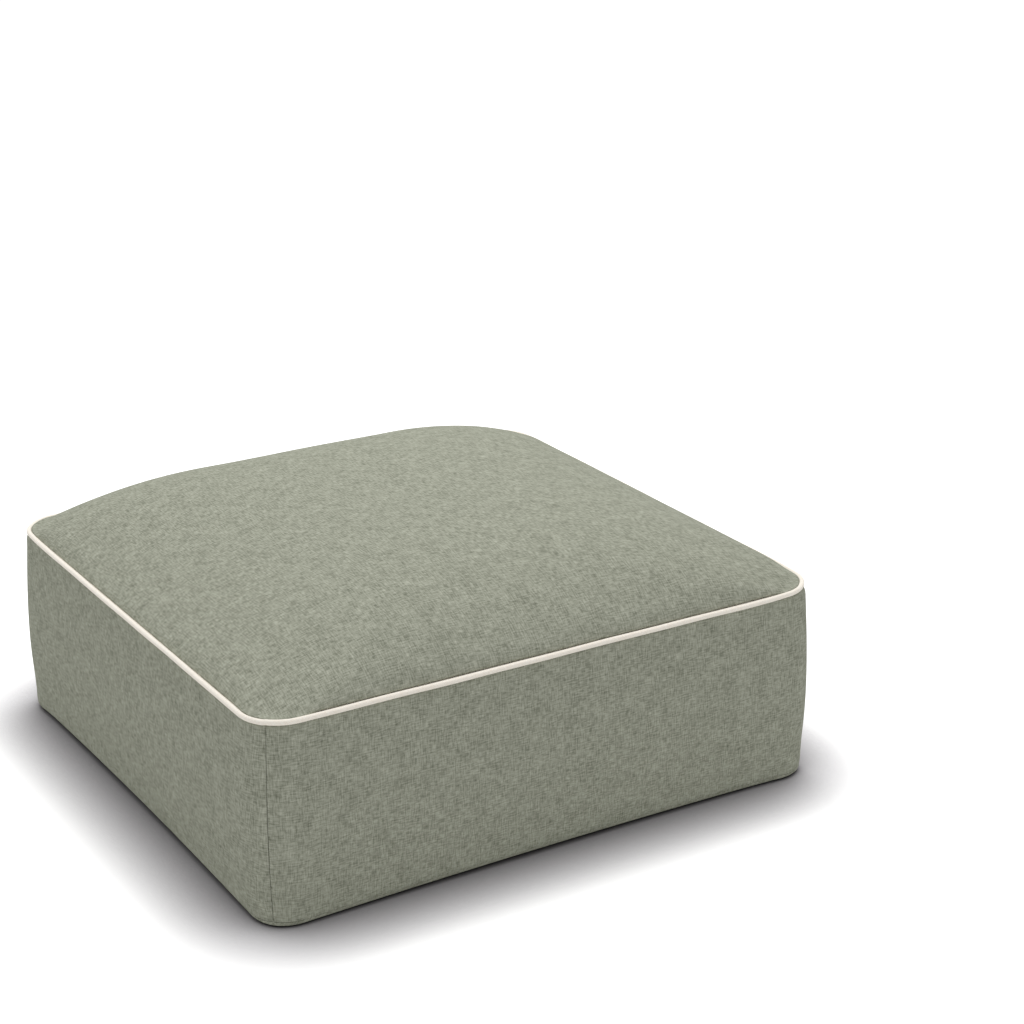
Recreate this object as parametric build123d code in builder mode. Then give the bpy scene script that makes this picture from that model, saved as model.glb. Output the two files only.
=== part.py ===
# Square inflatable ottoman: a sewn fabric cover with a piped top seam, wadding,
# and an air bladder with baffles that is filled through a valve in the underside.
# Units are millimetres. +Z is up, and the origin is the middle of the underside.
# The front faces -Y, the zip is low in the back, and the valve is near it below.
from math import atan, cos, degrees, pi, radians, sin
import os

from build123d import *

# Overall form, measured on the outside of the cover
width = 796.0                # seam to seam along X
depth = 760.0                # seam to seam along Y
seam_height = 264.0          # floor to the piped seam
crown_rise = 86.0            # seam to the top of the crown
corner_radius = 50.0         # plan radius of the piped corners
side_bulge = 7.5             # how far the air pushes the sides out past the seam
bulge_height = 111.0         # where the sides stand out furthest
base_edge_radius = 20.0      # rounding between the sides and the underside
crown_power_x = 2.8          # a higher power flattens the middle of the crown
crown_power_y = 4.5
crown_fullness = 0.8         # a lower power steepens its edges
crown_corner_share = 0.6     # how much its corners round off as it rises
crown_steps = 16
wall_steps = 5
edge_steps = 4
corner_limit_share = 0.9     # largest corner radius, of a level's smaller half side

# Layers, from outside to inside
panel_thickness = 1.6
layer_gap = 0.3
padding_thickness = 10.0
skin_thickness = 0.6

# Sewn seams
base_seam_height = 8.0       # seam between the sides and the base panel
seam_allowance = 6.0         # width of the turned edges inside the piped seam
piping_radius = 3.1
piping_wall = 1.0
piping_tail_thickness = 1.2  # the piping's flat tail between the turned edges
piping_gap = 0.1
piping_stand_off = 2.2       # seam line to the piping's centre

# Zip
zip_height = 48.0            # centre of the zip above the floor
zip_zone = 40.0              # height of the flat stretch of wall that carries it
slot_length = 640.0
slot_gap = 1.0               # slider to the edge of the slot
tape_width = 16.0            # one side's tape
tape_thickness = 0.6
tape_gap = 0.15
tape_overhang = 14.0         # tape past each end of the slot
chain_gap = 1.2              # between the two rows of coil
coil_width = 2.8
coil_height = 2.3
stop_length = 3.0
stop_inset = 5.0             # end of the slot to the stop

# Zip slider and pull
slider_length = 15.0
slider_corner = 3.0
plate_thickness = 1.2
slider_gap = 0.3
lip_width = 1.5
post_gap = 0.25              # post to a row of coil
post_length = 3.0
bail_length = 10.0
bail_width = 2.6
bail_thickness = 1.0
pull_length = 30.0
pull_thickness = 1.5
pull_arm = 1.9               # width of the pull's arms beside the bail
pull_corner = 2.5
pull_turn_gap = 0.25         # round bar to the bail above it and the plate below it
pull_side_gap = 0.8
pull_end_gap = 4.0           # end of the bail to the end of the pull's window

# Bladder
bladder_edge_radius = 16.0
weld_width = 4.0
baffle_count = 4
baffle_spacing = 160.0
baffle_length = 560.0
weld_tab = 20.0

# Valve body, with its mouth down
valve_y = 250.0
valve_wall = 2.5
weld_flange_width = 11.5
weld_flange_thickness = 1.2
well_lip = 3.0               # lip that stops the insert
well_room = 8.0              # plug to the insert
recess_margin = 4.5          # hinge to the wall of the recess
opening_margin = 4.0         # recess to the edge of the base panel's opening

# One-way insert in the well, with its flap
insert_length = 11.0
insert_wall = 9.8
insert_gap = 0.2
nozzle_radius = 10.0
nozzle_depth = 7.5
nozzle_step = 1.5            # ledge that stops the nozzle
spider_arms = 3
spider_width = 2.4
spider_thickness = 1.6
boss_radius = 3.0
flap_overlap = 2.5           # flap past the throat
flap_thickness = 0.8
stem_radius = 1.2
stem_gap = 0.1
stem_head = 0.9
stem_head_height = 1.2

# Cap that plugs the well, and its hinge
cap_overlap = 4.0            # cap past the well
cap_thickness = 2.2
cap_gap = 0.3
cap_tab_width = 12.0
cap_tab_length = 3.0
plug_gap = 0.5
plug_height = 3.0
plug_wall = 3.0
ring_radius = 0.8
ring_stand_out = 0.3         # how far the seal ring stands out of the plug
ring_seat_gap = 0.02
hinge_offset = 4.0           # edge of the cap to the hinge pin
hinge_clearance = 1.1        # floor to the underside of the hinge
hinge_barrel_radius = 1.5
hinge_barrel_length = 7.0
hinge_lug_length = 2.5
hinge_side_gap = 0.3
hinge_pin_radius = 0.8
pin_gap = 0.06

# Places that follow from the sizes above
overrun = 60.0
half_width = width / 2
half_depth = depth / 2
padding_inset = panel_thickness + layer_gap
bladder_inset = padding_inset + padding_thickness + layer_gap
bladder_floor = panel_thickness + layer_gap
weld_height = bladder_floor + bladder_edge_radius
tail_top = seam_height + piping_tail_thickness / 2
tail_bottom = seam_height - piping_tail_thickness / 2
turned_edge = panel_thickness + seam_allowance
seam_room_top = tail_top + panel_thickness + layer_gap
seam_room_bottom = tail_bottom - panel_thickness - layer_gap
total_height = seam_height + crown_rise
well_radius = nozzle_radius + insert_wall + insert_gap
cap_radius = well_radius + cap_overlap
hinge_reach = cap_radius + hinge_offset
recess_radius = hinge_reach + hinge_barrel_radius + recess_margin
hinge_height = hinge_clearance + hinge_barrel_radius
cap_top = hinge_height + hinge_barrel_radius
cap_bottom = cap_top - cap_thickness
valve_face = cap_top + cap_gap

os.makedirs("parts", exist_ok=True)


# Labels a finished piece and writes it
def save(piece, name):
    piece.label = name
    export_step(piece, f"parts/{name}.step")


# A box between two opposite corners
def block(corner, opposite, mode=Mode.ADD):
    corner, opposite = Vector(*corner), Vector(*opposite)
    size = opposite - corner
    with Locations((corner + opposite) / 2):
        Box(abs(size.X), abs(size.Y), abs(size.Z), mode=mode)


# How far the side stands out past the seam line at a height
def bulge_at(height):
    if height < bulge_height:
        rise_share = height / bulge_height
    else:
        rise_share = (seam_height - height) / (seam_height - bulge_height)
    return side_bulge * sin(pi / 2 * rise_share)


# One level of the walls: half width, half depth, corner radius and height
def wall_level(tuck, height):
    tuck = tuck - bulge_at(height)
    return half_width - tuck, half_depth - tuck, corner_radius - tuck, height


# One level of the crown, at a share of its rise, moved in by an inset along the slope
def crown_level(share, inset):
    fall = share ** (1 / crown_fullness)
    power = (crown_power_x + crown_power_y) / 2
    reach = (1 - fall) ** (1 / power)
    corner_reach = (1 - fall ** 0.5) ** (1 / power)
    slope_angle = pi / 2
    if share > 0:
        slope = crown_fullness * power * fall ** (crown_fullness - 1) * reach ** (power - 1)
        slope_angle = atan(slope * crown_rise / half_width)
    tuck = inset * sin(slope_angle)
    half_x = (1 - fall) ** (1 / crown_power_x) * half_width - tuck
    half_y = (1 - fall) ** (1 / crown_power_y) * half_depth - tuck
    rounding = crown_corner_share * (reach - corner_reach) * half_width / (1 - 1 / 2 ** 0.5)
    corner = min(corner_radius + rounding - tuck, corner_limit_share * min(half_x, half_y))
    return half_x, half_y, corner, seam_height + share * crown_rise - inset * cos(slope_angle)


# The ottoman's closed form at an inset from its outside, with its own floor and edge
def form(inset, floor, edge_radius):
    levels = []
    for step in range(edge_steps):
        angle = radians(90 * step / edge_steps)
        tuck = inset + edge_radius * (1 - sin(angle))
        levels.append(wall_level(tuck, floor + edge_radius * (1 - cos(angle))))
    heights = {floor + edge_radius, zip_height - zip_zone / 2, zip_height + zip_zone / 2}
    for step in range(wall_steps):
        heights.add(bulge_height + (seam_height - bulge_height) * step / wall_steps)
    for height in sorted(heights):
        levels.append(wall_level(inset, height))
    for step in range(crown_steps):
        levels.append(crown_level(1 - (1 - step / crown_steps) ** 2, inset))
    with BuildPart() as solid:
        for half_x, half_y, corner, height in levels:
            with BuildSketch(Plane.XY.offset(height)):
                RectangleRounded(2 * half_x, 2 * half_y, corner)
        loft(ruled=True)
    return solid.part


# Everything between two heights
def slab(low, high):
    with BuildPart() as solid:
        block((-half_width - overrun, -half_depth - overrun, low),
              (half_width + overrun, half_depth + overrun, high))
    return solid.part


# A flat ring along the seam line between two insets, rising or sinking from a height
def seam_ring(outer_inset, inner_inset, height, thickness):
    with BuildPart() as solid:
        with BuildSketch(Plane.XY.offset(height)):
            for inset, mode in ((outer_inset, Mode.ADD), (inner_inset, Mode.SUBTRACT)):
                RectangleRounded(width - 2 * inset, depth - 2 * inset, corner_radius - inset, mode=mode)
        extrude(amount=thickness)
    return solid.part


# A round bar along the piped seam
def seam_bar(radius):
    with BuildSketch(Plane.XY.offset(seam_height)) as course:
        RectangleRounded(width + 2 * piping_stand_off, depth + 2 * piping_stand_off,
                         corner_radius + piping_stand_off)
    path = course.sketch.face().outer_wire()
    with BuildPart() as solid:
        with BuildSketch(Plane(origin=path @ 0, z_dir=path % 0)):
            Circle(radius)
        sweep(path=path)
    return solid.part


# A block that takes in one side of the ottoman, out to the middles of its corners
def side_block(along, across, turn):
    with BuildPart() as solid:
        with BuildSketch(Plane.XY.rotated((0, 0, turn))):
            with BuildLine():
                Polyline((-along, -across), (along, -across), (along + overrun, -across - overrun),
                         (-along - overrun, -across - overrun), close=True)
            make_face()
        extrude(amount=total_height)
    return solid.part


# Shared solids: the outside of the cover, the insides of its layers and the piping's room
outside = form(0, 0, base_edge_radius)
lining = form(panel_thickness, panel_thickness, base_edge_radius - panel_thickness)
piping_room = seam_bar(piping_radius + piping_gap)

# Flat plane on the back wall that carries the zip, with its X along the zip and its Y up
zone_bulges = [bulge_at(zip_height + side * zip_zone / 2) for side in (-1, 1)]
wall_lean = atan((zone_bulges[1] - zone_bulges[0]) / zip_zone)
zip_plane = Plane(origin=(0, half_depth + sum(zone_bulges) / 2, zip_height), x_dir=(-1, 0, 0),
                  z_dir=(0, cos(wall_lean), -sin(wall_lean)))

# Cover: the crowned top panel, with its turned edge
with BuildPart() as cover_top_panel:
    add(outside)
    add(lining, mode=Mode.SUBTRACT)
    add(slab(tail_top, total_height + overrun), mode=Mode.INTERSECT)
    add(seam_ring(0, turned_edge, tail_top, panel_thickness))
    add(piping_room, mode=Mode.SUBTRACT)
save(cover_top_panel.part, "cover_top_panel")

# Cover: the walls as one band, with their turned edges, which the four side panels divide
with BuildPart() as cover_walls:
    add(outside)
    add(lining, mode=Mode.SUBTRACT)
    add(slab(base_seam_height, tail_bottom), mode=Mode.INTERSECT)
    add(seam_ring(0, turned_edge, tail_bottom, -panel_thickness))
    add(piping_room, mode=Mode.SUBTRACT)

straight_x = half_width - corner_radius
straight_y = half_depth - corner_radius
coil_edge = chain_gap / 2 + coil_width
slider_width = 2 * (coil_edge + slider_gap + lip_width)
sides = {
    "front": (straight_x, straight_y, 0),
    "right": (straight_y, straight_x, 90),
    "back": (straight_x, straight_y, 180),
    "left": (straight_y, straight_x, 270),
}
for side, (along, across, turn) in sides.items():
    with BuildPart() as cover_side_panel:
        add(cover_walls.part)
        add(side_block(along, across, turn), mode=Mode.INTERSECT)
        if side == "back":
            with BuildSketch(zip_plane.offset(-overrun / 2)):
                Rectangle(slot_length, slider_width + 2 * slot_gap)
            extrude(amount=overrun, mode=Mode.SUBTRACT)
    save(cover_side_panel.part, f"cover_{side}_panel")

# Cover: the base panel, with the opening that clears the valve
with BuildPart() as cover_base_panel:
    add(outside)
    add(lining, mode=Mode.SUBTRACT)
    add(slab(0, base_seam_height), mode=Mode.INTERSECT)
    with BuildSketch():
        with Locations((0, valve_y)):
            Circle(recess_radius + opening_margin)
    extrude(amount=base_seam_height, mode=Mode.SUBTRACT)
save(cover_base_panel.part, "cover_base_panel")

# Piping round the top seam: a cord in a casing, whose tail is sewn between the turned edges
with BuildPart() as piping_casing:
    add(seam_bar(piping_radius))
    add(seam_ring(0, turned_edge, tail_bottom, piping_tail_thickness))
    add(seam_bar(piping_radius - piping_wall), mode=Mode.SUBTRACT)
save(piping_casing.part, "piping_casing")

with BuildPart() as piping_cord:
    add(seam_bar(piping_radius - piping_wall - piping_gap))
save(piping_cord.part, "piping_cord")

# Heights of the zip's parts along the zip plane's Z, from the outside of the wall
tape_face = -panel_thickness - tape_gap
tape_back = tape_face - tape_thickness
coil_top = tape_face + coil_height
plate_bottom = coil_top + slider_gap
plate_top = plate_bottom + plate_thickness
back_plate_top = tape_back - slider_gap
back_plate_bottom = back_plate_top - plate_thickness
bail_room = pull_thickness + 2 * pull_turn_gap
pull_pivot_height = plate_top + bail_room / 2

# Places along and across the zip
tape_end = slot_length / 2 + tape_overhang
coil_end = slot_length / 2 - stop_inset - stop_length
slider_rest = slider_length / 2 + slider_gap - coil_end

# Zip: one tape and one row of coil on each side of the chain
for row, side in (("upper", 1), ("lower", -1)):
    with BuildPart(zip_plane) as zip_tape:
        block((-tape_end, side * chain_gap / 2, tape_back),
              (tape_end, side * (chain_gap / 2 + tape_width), tape_face))
    save(zip_tape.part, f"zip_tape_{row}")

    with BuildPart(zip_plane) as zip_coil:
        block((-coil_end, side * chain_gap / 2, tape_face), (coil_end, side * coil_edge, coil_top))
        fillet(zip_coil.edges().filter_by(Axis.X).group_by(Axis.Y)[-1], radius=coil_height / 4)
    save(zip_coil.part, f"zip_coil_{row}")

# Zip: a stop across both rows at each end
with BuildPart(zip_plane) as zip_stops:
    for end in (-1, 1):
        block((end * coil_end, -coil_edge, tape_face),
              (end * (coil_end + stop_length), coil_edge, coil_top))
save(zip_stops.part, "zip_stops")

# Zip slider: two plates joined by a post that runs between the rows, with lips and a bail
with BuildPart(zip_plane) as zip_slider:
    for low in (plate_bottom, back_plate_bottom):
        with BuildSketch(zip_plane.offset(low)) as plate:
            with Locations((slider_rest, 0)):
                Rectangle(slider_length, slider_width)
            fillet(plate.vertices(), radius=slider_corner)
        extrude(amount=plate_thickness)
    post_edge = chain_gap / 2 - post_gap
    block((slider_rest - post_length / 2, -post_edge, back_plate_top),
          (slider_rest + post_length / 2, post_edge, plate_bottom))
    lip_reach = slider_length / 2 - slider_corner
    for side in (-1, 1):
        block((slider_rest - lip_reach, side * (slider_width / 2 - lip_width), tape_face + slider_gap),
              (slider_rest + lip_reach, side * slider_width / 2, plate_bottom))
    bail_top = plate_top + bail_room + bail_thickness
    block((slider_rest - bail_length / 2, -bail_width / 2, plate_top),
          (slider_rest + bail_length / 2, bail_width / 2, bail_top))
    bail_reach = bail_length / 2 - bail_thickness
    block((slider_rest - bail_reach, -bail_width / 2, plate_top),
          (slider_rest + bail_reach, bail_width / 2, plate_top + bail_room), mode=Mode.SUBTRACT)
save(zip_slider.part, "zip_slider")

# Zip pull: a plate with a window round the bail, turning on a round bar under it
pull_window_length = bail_length / 2 + pull_end_gap
pull_window_width = bail_width + 2 * pull_side_gap
pull_width = pull_window_width + 2 * pull_arm
with BuildPart(zip_plane) as zip_pull:
    with BuildSketch(zip_plane.offset(pull_pivot_height - pull_thickness / 2)) as plate:
        with Locations((slider_rest - pull_length / 2, 0)):
            Rectangle(pull_length, pull_width)
        fillet(plate.vertices().group_by(Axis.X)[-1], radius=pull_corner)
        with Locations((slider_rest - pull_window_length / 2, 0)):
            Rectangle(pull_window_length, pull_window_width, mode=Mode.SUBTRACT)
    extrude(amount=pull_thickness)
    with Locations((slider_rest, 0, pull_pivot_height)):
        Cylinder(pull_thickness / 2, pull_width, rotation=(90, 0, 0))
save(zip_pull.part, "zip_pull")

# Padding between the cover and the bladder: one piece over the top, one round the walls
padding_outside = form(padding_inset, padding_inset, base_edge_radius - padding_inset)
padding_inside = form(padding_inset + padding_thickness, bladder_floor - layer_gap,
                      bladder_edge_radius + layer_gap)

with BuildPart() as top_padding:
    add(padding_outside)
    add(padding_inside, mode=Mode.SUBTRACT)
    add(slab(seam_room_top, total_height + overrun), mode=Mode.INTERSECT)
save(top_padding.part, "top_padding")

with BuildPart(zip_plane) as zip_room:
    room_edge = chain_gap / 2 + tape_width + layer_gap
    block((-tape_end - layer_gap, -room_edge, back_plate_bottom - slider_gap),
          (tape_end + layer_gap, room_edge, overrun))

with BuildPart() as side_padding:
    add(padding_outside)
    add(padding_inside, mode=Mode.SUBTRACT)
    add(slab(weld_height + skin_thickness + layer_gap, seam_room_bottom), mode=Mode.INTERSECT)
    add(zip_room.part, mode=Mode.SUBTRACT)
save(side_padding.part, "side_padding")

# Bladder: top, wall and bottom, each with a flat edge welded to its neighbour's
bladder_outside = form(bladder_inset, bladder_floor, bladder_edge_radius)
air = form(bladder_inset + skin_thickness, bladder_floor + skin_thickness,
           bladder_edge_radius - skin_thickness)

with BuildPart() as bladder_skin:
    add(bladder_outside)
    add(air, mode=Mode.SUBTRACT)


# The flat edge that a bladder piece turns out at one of its welds
def weld_edge(height, thickness):
    tuck = bladder_inset - bulge_at(height)
    return seam_ring(tuck - weld_width, tuck + skin_thickness / 2, height, thickness)


with BuildPart() as bladder_top_sheet:
    add(bladder_skin.part)
    add(slab(seam_height, total_height + overrun), mode=Mode.INTERSECT)
    add(weld_edge(seam_height, skin_thickness))
save(bladder_top_sheet.part, "bladder_top_sheet")

with BuildPart() as bladder_side_wall:
    add(bladder_skin.part)
    add(slab(weld_height, seam_height), mode=Mode.INTERSECT)
    add(weld_edge(seam_height, -skin_thickness))
    add(weld_edge(weld_height, skin_thickness))
save(bladder_side_wall.part, "bladder_side_wall")

with BuildPart() as bladder_bottom_sheet:
    add(bladder_skin.part)
    add(slab(0, weld_height), mode=Mode.INTERSECT)
    add(weld_edge(weld_height, -skin_thickness))
    with BuildSketch():
        with Locations((0, valve_y)):
            Circle(recess_radius)
    extrude(amount=weld_height, mode=Mode.SUBTRACT)
save(bladder_bottom_sheet.part, "bladder_bottom_sheet")

# Bladder baffles: upright webs from bottom to top, with a weld tab along each edge
baffle_core = form(bladder_inset + 2 * skin_thickness, bladder_floor + 2 * skin_thickness,
                   bladder_edge_radius - 2 * skin_thickness)
for number in range(baffle_count):
    x = (number - (baffle_count - 1) / 2) * baffle_spacing
    with BuildPart() as baffle:
        block((x - weld_tab / 2, -baffle_length / 2, 0),
              (x + weld_tab / 2, baffle_length / 2, total_height))
        add(baffle_core, mode=Mode.SUBTRACT)
        block((x - skin_thickness / 2, -baffle_length / 2, 0),
              (x + skin_thickness / 2, baffle_length / 2, total_height))
        add(air, mode=Mode.INTERSECT)
    save(baffle.part, f"bladder_baffle_{number + 1}")

# Heights in the valve, above the floor
weld_seat = bladder_floor + skin_thickness
face_top = valve_face + valve_wall
plug_top = valve_face + plug_height
ring_height = valve_face + plug_height / 2
insert_mouth = plug_top + well_room
well_end = insert_mouth + insert_length

# Radii and lengths in the valve
throat_radius = nozzle_radius - nozzle_step
plug_radius = well_radius - plug_gap
ring_course = plug_radius + ring_stand_out - ring_radius
weld_flange_radius = recess_radius + valve_wall + weld_flange_width
lug_start = hinge_barrel_length / 2 + hinge_side_gap
lug_end = lug_start + hinge_lug_length

# The valve's own places: its floor point, the half section it is turned from, and its axis
valve_base = Plane((0, valve_y, 0))
valve_section = Plane(origin=(0, valve_y, 0), x_dir=(1, 0, 0), z_dir=(0, -1, 0))
valve_axis = Axis((0, valve_y, 0), (0, 0, 1))


# A round bar along the valve's hinge, on each side of its middle between two distances
def hinge_bar(radius, start, end, mode=Mode.ADD):
    for side in (-1, 1):
        with Locations((side * (start + end) / 2, hinge_reach, hinge_height)):
            Cylinder(radius, end - start, rotation=(0, 90, 0), mode=mode)


# Valve body: weld flange, recess and well, with lugs for the cap's hinge
with BuildPart(valve_base) as valve_body:
    with BuildSketch(valve_section):
        with BuildLine():
            Polyline(
                (recess_radius, weld_seat),
                (weld_flange_radius, weld_seat),
                (weld_flange_radius, weld_seat + weld_flange_thickness),
                (recess_radius + valve_wall, weld_seat + weld_flange_thickness),
                (recess_radius + valve_wall, face_top),
                (well_radius + valve_wall, face_top),
                (well_radius + valve_wall, well_end + valve_wall),
                (well_radius - well_lip, well_end + valve_wall),
                (well_radius - well_lip, well_end),
                (well_radius, well_end),
                (well_radius, valve_face),
                (recess_radius, valve_face),
                close=True,
            )
        make_face()
    revolve(axis=valve_axis)
    for side in (-1, 1):
        block((side * lug_start, hinge_reach - hinge_barrel_radius, hinge_height),
              (side * lug_end, hinge_reach + hinge_barrel_radius, face_top))
    hinge_bar(hinge_barrel_radius, lug_start, lug_end)
    hinge_bar(hinge_pin_radius + pin_gap, 0, lug_end, mode=Mode.SUBTRACT)
save(valve_body.part, "valve_body")

# Valve insert: a bushing with the nozzle's bore, a throat and a spider that holds the flap
with BuildPart(valve_base) as valve_insert:
    with BuildSketch(valve_section):
        with BuildLine():
            Polyline(
                (nozzle_radius, insert_mouth),
                (well_radius - insert_gap, insert_mouth),
                (well_radius - insert_gap, well_end),
                (throat_radius, well_end),
                (throat_radius, insert_mouth + nozzle_depth),
                (nozzle_radius, insert_mouth + nozzle_depth),
                close=True,
            )
        make_face()
    revolve(axis=valve_axis)
    with BuildSketch(valve_base.offset(well_end)):
        Circle(boss_radius)
        with PolarLocations(throat_radius / 2, spider_arms):
            Rectangle(throat_radius + valve_wall, spider_width)
        Circle(stem_radius + stem_gap, mode=Mode.SUBTRACT)
    extrude(amount=-spider_thickness)
save(valve_insert.part, "valve_insert")

# Valve flap: a soft disc over the throat, held by its stem and head
with BuildPart(valve_base) as valve_flap:
    with BuildSketch(valve_base.offset(well_end)):
        Circle(throat_radius + flap_overlap)
    extrude(amount=flap_thickness)
    with BuildSketch(valve_base.offset(well_end)):
        Circle(stem_radius)
    extrude(amount=-spider_thickness - stem_gap)
    with BuildSketch(valve_base.offset(well_end - spider_thickness - stem_gap)):
        Circle(stem_radius + stem_head)
    extrude(amount=-stem_head_height)
save(valve_flap.part, "valve_flap")

# Valve cap: a disc with a plug for the well, a finger tab and a hinge barrel
with BuildPart(valve_base) as valve_cap:
    with BuildSketch(valve_base.offset(cap_bottom)):
        Circle(cap_radius)
        with Locations((0, -cap_radius)):
            Rectangle(cap_tab_width, 2 * cap_tab_length)
        with Locations((0, hinge_reach / 2)):
            Rectangle(hinge_barrel_length, hinge_reach)
    extrude(amount=cap_thickness)
    with BuildSketch(valve_base.offset(cap_top)):
        Circle(plug_radius)
        Circle(plug_radius - plug_wall, mode=Mode.SUBTRACT)
    extrude(amount=plug_top - cap_top)
    with Locations((0, 0, ring_height)):
        Torus(ring_course, ring_radius + ring_seat_gap, mode=Mode.SUBTRACT)
    hinge_bar(hinge_barrel_radius, 0, hinge_barrel_length / 2)
    hinge_bar(hinge_pin_radius + pin_gap, 0, hinge_barrel_length / 2, mode=Mode.SUBTRACT)
save(valve_cap.part, "valve_cap")

with BuildPart(valve_base) as valve_seal_ring:
    with Locations((0, 0, ring_height)):
        Torus(ring_course, ring_radius)
save(valve_seal_ring.part, "valve_seal_ring")

with BuildPart(valve_base) as valve_hinge_pin:
    hinge_bar(hinge_pin_radius, 0, lug_end)
save(valve_hinge_pin.part, "valve_hinge_pin")
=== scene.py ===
# The looks of an inflatable ottoman: a sage woven cover with cream piping round its crowned top,
# a zip low in the back, wadding and an air bladder inside, and a valve in the underside.
# Lengths are in metres. +Z is up, and the origin is the middle of the underside.
from math import cos, pi, radians, sin

import bpy
import numpy as np
from mathutils import Matrix, Vector


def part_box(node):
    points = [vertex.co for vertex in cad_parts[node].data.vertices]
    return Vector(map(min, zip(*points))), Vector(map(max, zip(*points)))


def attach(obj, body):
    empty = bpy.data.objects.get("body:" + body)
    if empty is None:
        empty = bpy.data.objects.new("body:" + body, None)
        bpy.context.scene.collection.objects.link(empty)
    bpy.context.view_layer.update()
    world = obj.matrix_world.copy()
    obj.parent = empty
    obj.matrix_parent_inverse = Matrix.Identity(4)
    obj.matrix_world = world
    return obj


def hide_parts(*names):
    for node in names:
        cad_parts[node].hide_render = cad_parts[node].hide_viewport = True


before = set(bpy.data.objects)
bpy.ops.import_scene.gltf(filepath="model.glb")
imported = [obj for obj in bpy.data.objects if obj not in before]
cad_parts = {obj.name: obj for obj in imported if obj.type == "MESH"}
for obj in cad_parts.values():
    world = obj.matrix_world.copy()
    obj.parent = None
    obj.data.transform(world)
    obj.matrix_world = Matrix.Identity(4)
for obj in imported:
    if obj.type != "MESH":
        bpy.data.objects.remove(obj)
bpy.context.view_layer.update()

mm = 0.001

# The cover's form, from the frame
top_low, top_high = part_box("cover_top_panel")
half_width, half_depth = top_high.x, top_high.y
seam_height = (top_low.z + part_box("cover_front_panel")[1].z) / 2
crown_rise = top_high.z - seam_height
valve_y = (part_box("valve_body")[0].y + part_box("valve_body")[1].y) / 2
baffle_places = [(low.x + high.x) / 2 for low, high in (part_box(f"bladder_baffle_{n}") for n in range(1, 5))]

# The cover's form, in shares and sizes of its own
corner_radius = 50 * mm
side_bulge = 7.5 * mm
bulge_height = 111 * mm
base_edge_radius = 10 * mm   # of the edge underneath, at the corners
base_edge_slack = 11 * mm    # how much rounder that edge is midway between corners
base_seam_height = 8 * mm
foot_spread = 4.5 * mm       # how much further three corners stand out at the floor
foot_height = 60 * mm
crown_power_x = 2.8
crown_power_y = 4.5
crown_fullness = 0.77
crown_corner_share = 0.5
corner_limit_share = 0.9
straight_x = half_width - corner_radius
straight_y = half_depth - corner_radius
quarter_half = corner_radius * pi / 4

# The cloth and its seams
cloth_thickness = 1.5 * mm
cloth_step = 4 * mm
finest_step = 0.8 * mm
turn_radius = 1.1 * mm
turn_allowance = 5 * mm
base_seam_inset = 0.95 * turn_radius
tail_half = 0.65 * mm        # half the room that the piping's tail takes in the seam
top_rim_inset = 1.8 * mm
rim_lift = 2.9 * mm          # least height of the top panel's rim over the seam
rim_softness = 0.6 * mm
seam_draw = 2 * mm           # how far the top seam is drawn in, and how much more at corners
corner_draw = 5 * mm
near_corner_draw = 0.5 * mm
corner_draw_reach = 45 * mm
draw_fade = 25 * mm
shoulder_height = 14 * mm
seam_dip = 0.9 * mm          # how deep and wide a seam pulls the cloth in
seam_dip_width = 5 * mm
shoulder_dip = 1.8 * mm      # the same for a wall under the piping
shoulder_dip_width = 3.5 * mm
corner_pinch = 1.2 * mm
corner_pinch_width = 4 * mm
corner_pinch_length = 12 * mm

# How uneven the stuffed cloth is, and how far from a seam or the zip that starts
wall_unevenness = 0.35 * mm
top_unevenness = 0.5 * mm
wave_length = 75 * mm
wave_count = 9
corner_calm = 20 * mm
shoulder_calm = 15 * mm
crown_calm = 25 * mm
zip_calm = 18 * mm

# The piping, and the cord in it
piping_radius = 2.9 * mm
piping_stand_off = 2.2 * mm  # seam line to the piping's middle
piping_cloth = 0.5 * mm
strand_radius = 0.93 * mm
strand_offset = 0.98 * mm    # middle of the cord to the middle of a strand
strand_pitch = 14 * mm

# The opening in the base
opening_radius = 38 * mm
opening_block = 62 * mm      # half the square round the opening that its rings fill
hem_radius = 0.75 * mm
hem_allowance = 0.6 * mm
hem_stitch_radius = 42 * mm
hem_stitch_depth = 0.35 * mm
hem_stitch_width = 1.4 * mm

# The zip, on its own plane
zip_height = 48 * mm
zip_zone = 40 * mm           # the wall's lean is taken over this height
slot_half_length = 320 * mm
slot_half_height = 6.2 * mm
slot_hem = 0.5 * mm
chain_half_gap = 0.6 * mm
tape_width = 16 * mm
tape_half_length = 334 * mm
tape_face = -1.75 * mm
tape_thickness = 0.5 * mm
tape_ripple = 0.08 * mm
coil_reach = 3.4 * mm
coil_height = 2.3 * mm
coil_half_length = 312 * mm
coil_pitch = 1.5 * mm
coil_core = 0.4 * mm
filament = 0.34 * mm
zip_stitch_inset = 3 * mm    # edge of the slot to the stitching
bar_tack_half = 6.3 * mm
bar_tack_pitch = 0.7 * mm
stitch_face = 0.2 * mm       # the cloth stands this much out of the zip's plane

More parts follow.
